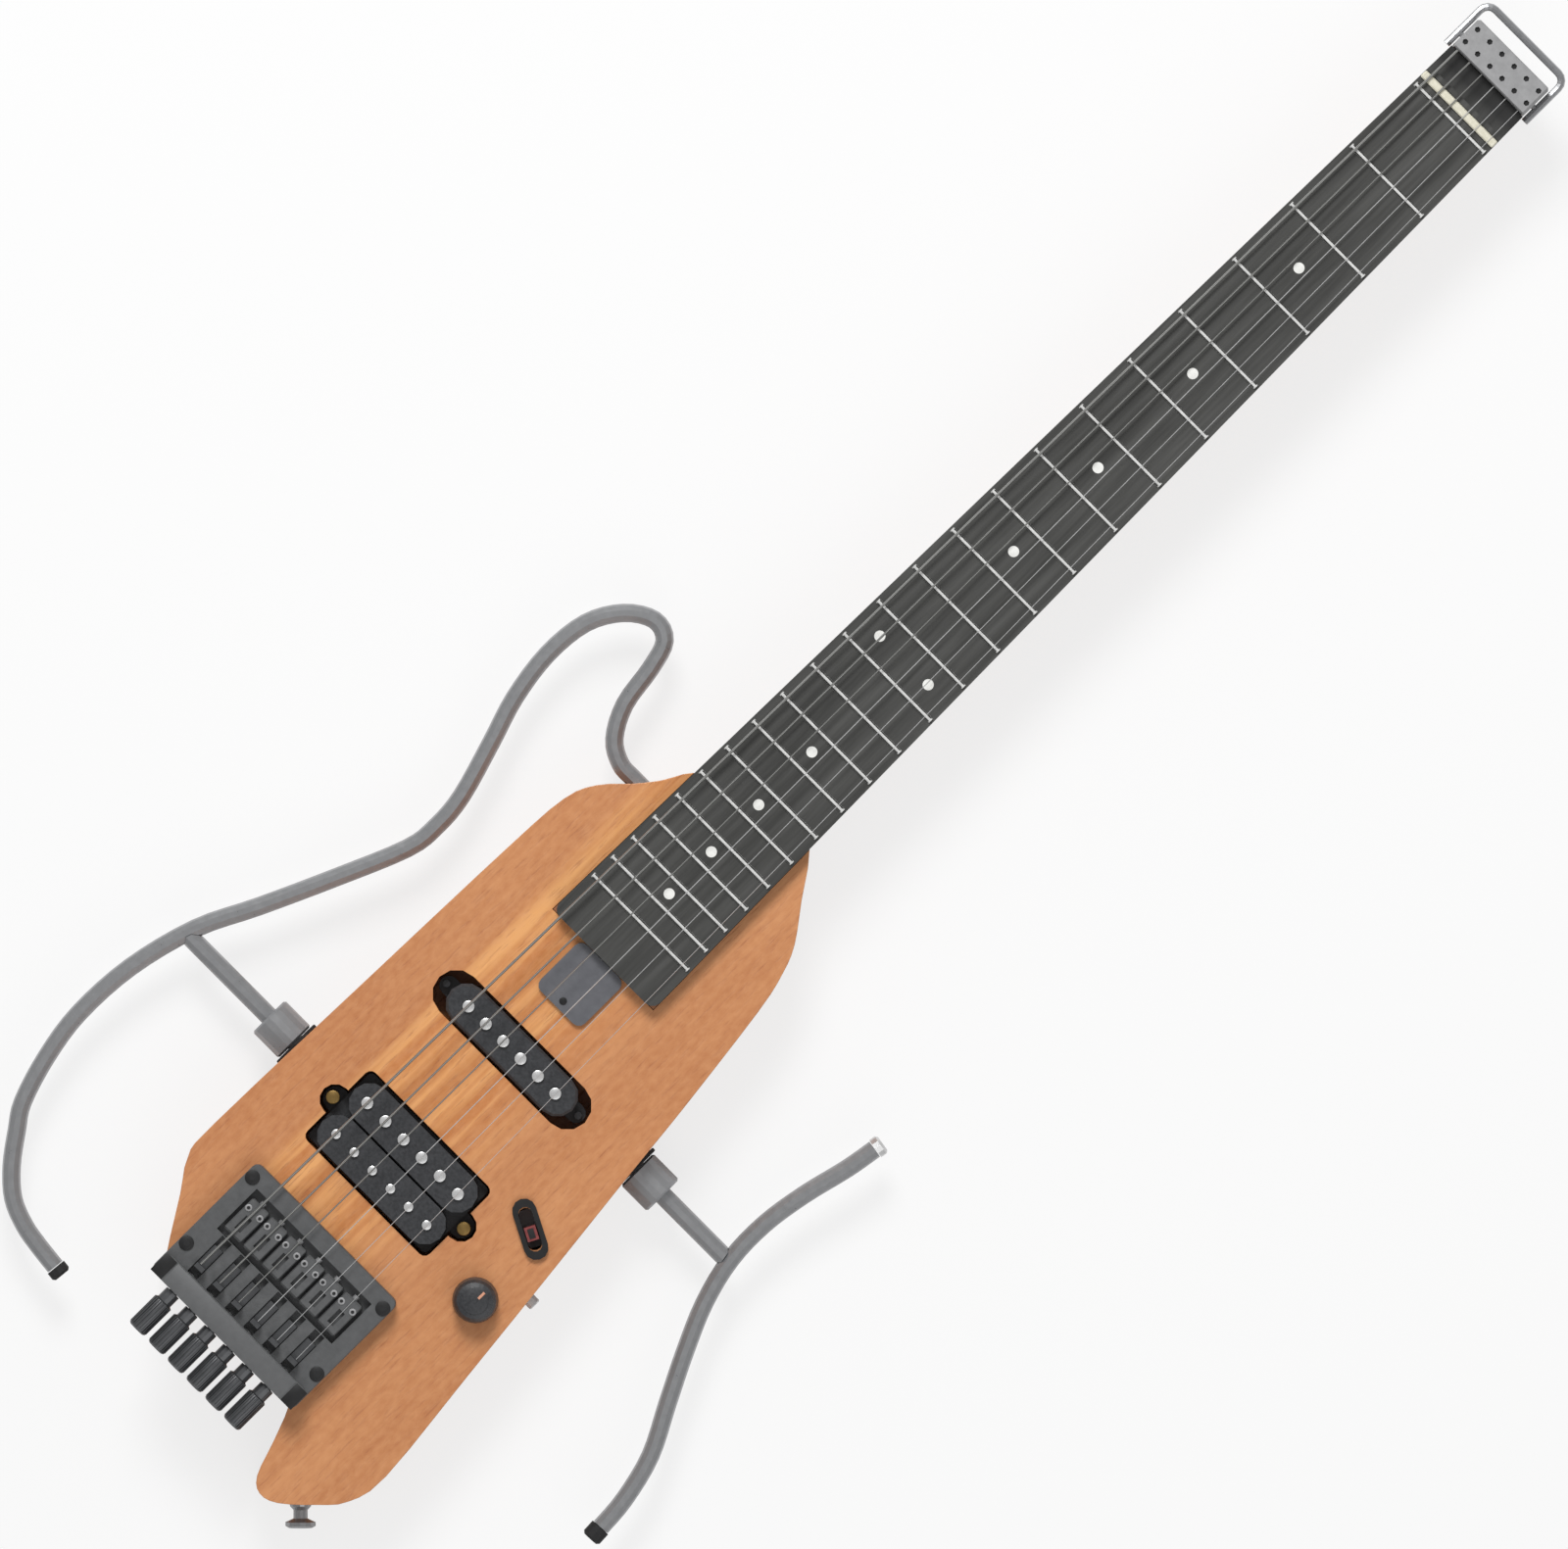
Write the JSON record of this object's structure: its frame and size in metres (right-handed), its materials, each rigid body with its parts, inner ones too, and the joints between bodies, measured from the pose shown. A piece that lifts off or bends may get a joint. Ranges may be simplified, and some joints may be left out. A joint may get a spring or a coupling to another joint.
{
  "type": "silent guitar",
  "caption": "Headless electric travel guitar with a slim wooden body, tail tuners, folding hanger and pull-off bent tube frames.",
  "frame": {"origin": "on the body's flat back, on the centre line, under the bridge end of the scale length", "axes": "+Y towards the head, +X towards the treble side, +Z out of the face"},
  "size_m": [0.3091, 0.7911, 0.0533],
  "materials": {
    "mahogany": "satin",
    "neck_wood": "satin",
    "dark_board": "satin",
    "ivory_plastic": "satin",
    "grey_metal": "satin",
    "gunmetal": "satin",
    "black_metal": "satin",
    "black_plastic": "satin",
    "steel": "polished",
    "rubber": "matte",
    "red_plastic": "satin",
    "circuit_board": "satin"
  },
  "bodies": {
    "guitar": {"body": "mahogany", "neck": "neck_wood", "fretboard": "dark_board", "string_guide": "ivory_plastic", "clamp_block": "grey_metal", "neck_end_cover": "grey_metal", "bridge_plate": "black_metal", "bridge_pickup": "black_plastic", "neck_pickup": "black_plastic", "potentiometer": "grey_metal", "switch_bezel": "black_metal", "switch_body": "grey_metal", "amplifier_board": "circuit_board", "control_cover": "black_plastic", "phones_jack": "steel", "strap_button": "gunmetal", "truss_rod": "steel", "bass_gasket": "rubber", "treble_gasket": "rubber", "string_1": "steel", "string_2": "steel", "string_3": "steel", "string_4": "steel", "string_5": "steel", "string_6": "steel", "saddle_1": "black_metal", "saddle_2": "black_metal", "saddle_3": "black_metal", "saddle_4": "black_metal", "saddle_5": "black_metal", "saddle_6": "black_metal"},
    "hanger": {"hanger_bail": "gunmetal"},
    "volume": {"volume_knob": "black_plastic"},
    "switch": {"switch_thumb": "red_plastic"},
    "bass_wing": {"bass_frame": "gunmetal", "bass_rod": "gunmetal", "bass_end_cap": "rubber"},
    "treble_wing": {"treble_frame": "gunmetal", "treble_rod": "gunmetal", "treble_low_cap": "rubber", "treble_high_cap": "steel"},
    "bass_lock": {"bass_lock_collar": "gunmetal"},
    "treble_lock": {"treble_lock_collar": "gunmetal"},
    "tuner_1": {"tuner_knob_1": "gunmetal"},
    "puller_1": {"string_puller_1": "gunmetal"},
    "tuner_2": {"tuner_knob_2": "gunmetal"},
    "puller_2": {"string_puller_2": "gunmetal"},
    "tuner_3": {"tuner_knob_3": "gunmetal"},
    "puller_3": {"string_puller_3": "gunmetal"},
    "tuner_4": {"tuner_knob_4": "gunmetal"},
    "puller_4": {"string_puller_4": "gunmetal"},
    "tuner_5": {"tuner_knob_5": "gunmetal"},
    "puller_5": {"string_puller_5": "gunmetal"},
    "tuner_6": {"tuner_knob_6": "gunmetal"},
    "puller_6": {"string_puller_6": "gunmetal"}
  },
  "joints": [
    {"name": "hanger_fold", "type": "hinge", "parent": "guitar", "child": "hanger", "pos_m": [0, 0.676, 0.039], "axis": [1, 0, 0], "range_deg": [0, 100]},
    {"name": "volume_turn", "type": "hinge", "parent": "guitar", "child": "volume", "pos_m": [0.062, 0.025, 0.045], "axis": [0, 0, 1], "range_deg": [-150, 150]},
    {"name": "switch_travel", "type": "slide", "parent": "guitar", "child": "switch", "axis": [0.891, -0.454, 0], "range_m": [-0.0065, 0.003]},
    {"name": "bass_pull", "type": "slide", "parent": "guitar", "child": "bass_wing", "axis": [-1, 0, 0], "range_m": [0, 0.05]},
    {"name": "treble_pull", "type": "slide", "parent": "guitar", "child": "treble_wing", "axis": [1, 0, 0], "range_m": [0, 0.05]},
    {"name": "bass_lock_turn", "type": "hinge", "parent": "guitar", "child": "bass_lock", "pos_m": [-0.0725, 0.0461, 0.02], "axis": [-1, 0, 0], "range_deg": [0, 180]},
    {"name": "treble_lock_turn", "type": "hinge", "parent": "guitar", "child": "treble_lock", "pos_m": [0.078, 0.109, 0.02], "axis": [1, 0, 0], "range_deg": [0, 180]},
    {"name": "tuner_1_turn", "type": "hinge", "parent": "guitar", "child": "tuner_1", "pos_m": [0.02725, -0.068, 0.0478], "axis": [0, -1, 0], "range_deg": [0, 720]},
    {"name": "puller_1_draw", "type": "slide", "parent": "guitar", "child": "puller_1", "axis": [0, -1, 0], "range_m": [0, 0.00141]},
    {"name": "tuner_2_turn", "type": "hinge", "parent": "guitar", "child": "tuner_2", "pos_m": [0.01635, -0.068, 0.0478], "axis": [0, -1, 0], "range_deg": [0, 720]},
    {"name": "puller_2_draw", "type": "slide", "parent": "guitar", "child": "puller_2", "axis": [0, -1, 0], "range_m": [0, 0.00141]},
    {"name": "tuner_3_turn", "type": "hinge", "parent": "guitar", "child": "tuner_3", "pos_m": [0.00545, -0.068, 0.0478], "axis": [0, -1, 0], "range_deg": [0, 720]},
    {"name": "puller_3_draw", "type": "slide", "parent": "guitar", "child": "puller_3", "axis": [0, -1, 0], "range_m": [0, 0.00141]},
    {"name": "tuner_4_turn", "type": "hinge", "parent": "guitar", "child": "tuner_4", "pos_m": [-0.00545, -0.068, 0.0478], "axis": [0, -1, 0], "range_deg": [0, 720]},
    {"name": "puller_4_draw", "type": "slide", "parent": "guitar", "child": "puller_4", "axis": [0, -1, 0], "range_m": [0, 0.00141]},
    {"name": "tuner_5_turn", "type": "hinge", "parent": "guitar", "child": "tuner_5", "pos_m": [-0.01635, -0.068, 0.0478], "axis": [0, -1, 0], "range_deg": [0, 720]},
    {"name": "puller_5_draw", "type": "slide", "parent": "guitar", "child": "puller_5", "axis": [0, -1, 0], "range_m": [0, 0.00141]},
    {"name": "tuner_6_turn", "type": "hinge", "parent": "guitar", "child": "tuner_6", "pos_m": [-0.02725, -0.068, 0.0478], "axis": [0, -1, 0], "range_deg": [0, 720]},
    {"name": "puller_6_draw", "type": "slide", "parent": "guitar", "child": "puller_6", "axis": [0, -1, 0], "range_m": [0, 0.00141]}
  ],
  "couplings": [
    {"joint": "puller_1_draw", "follows": "tuner_1_turn", "m_per_rad": 0.00011141},
    {"joint": "puller_2_draw", "follows": "tuner_2_turn", "m_per_rad": 0.00011141},
    {"joint": "puller_3_draw", "follows": "tuner_3_turn", "m_per_rad": 0.00011141},
    {"joint": "puller_4_draw", "follows": "tuner_4_turn", "m_per_rad": 0.00011141},
    {"joint": "puller_5_draw", "follows": "tuner_5_turn", "m_per_rad": 0.00011141},
    {"joint": "puller_6_draw", "follows": "tuner_6_turn", "m_per_rad": 0.00011141}
  ]
}
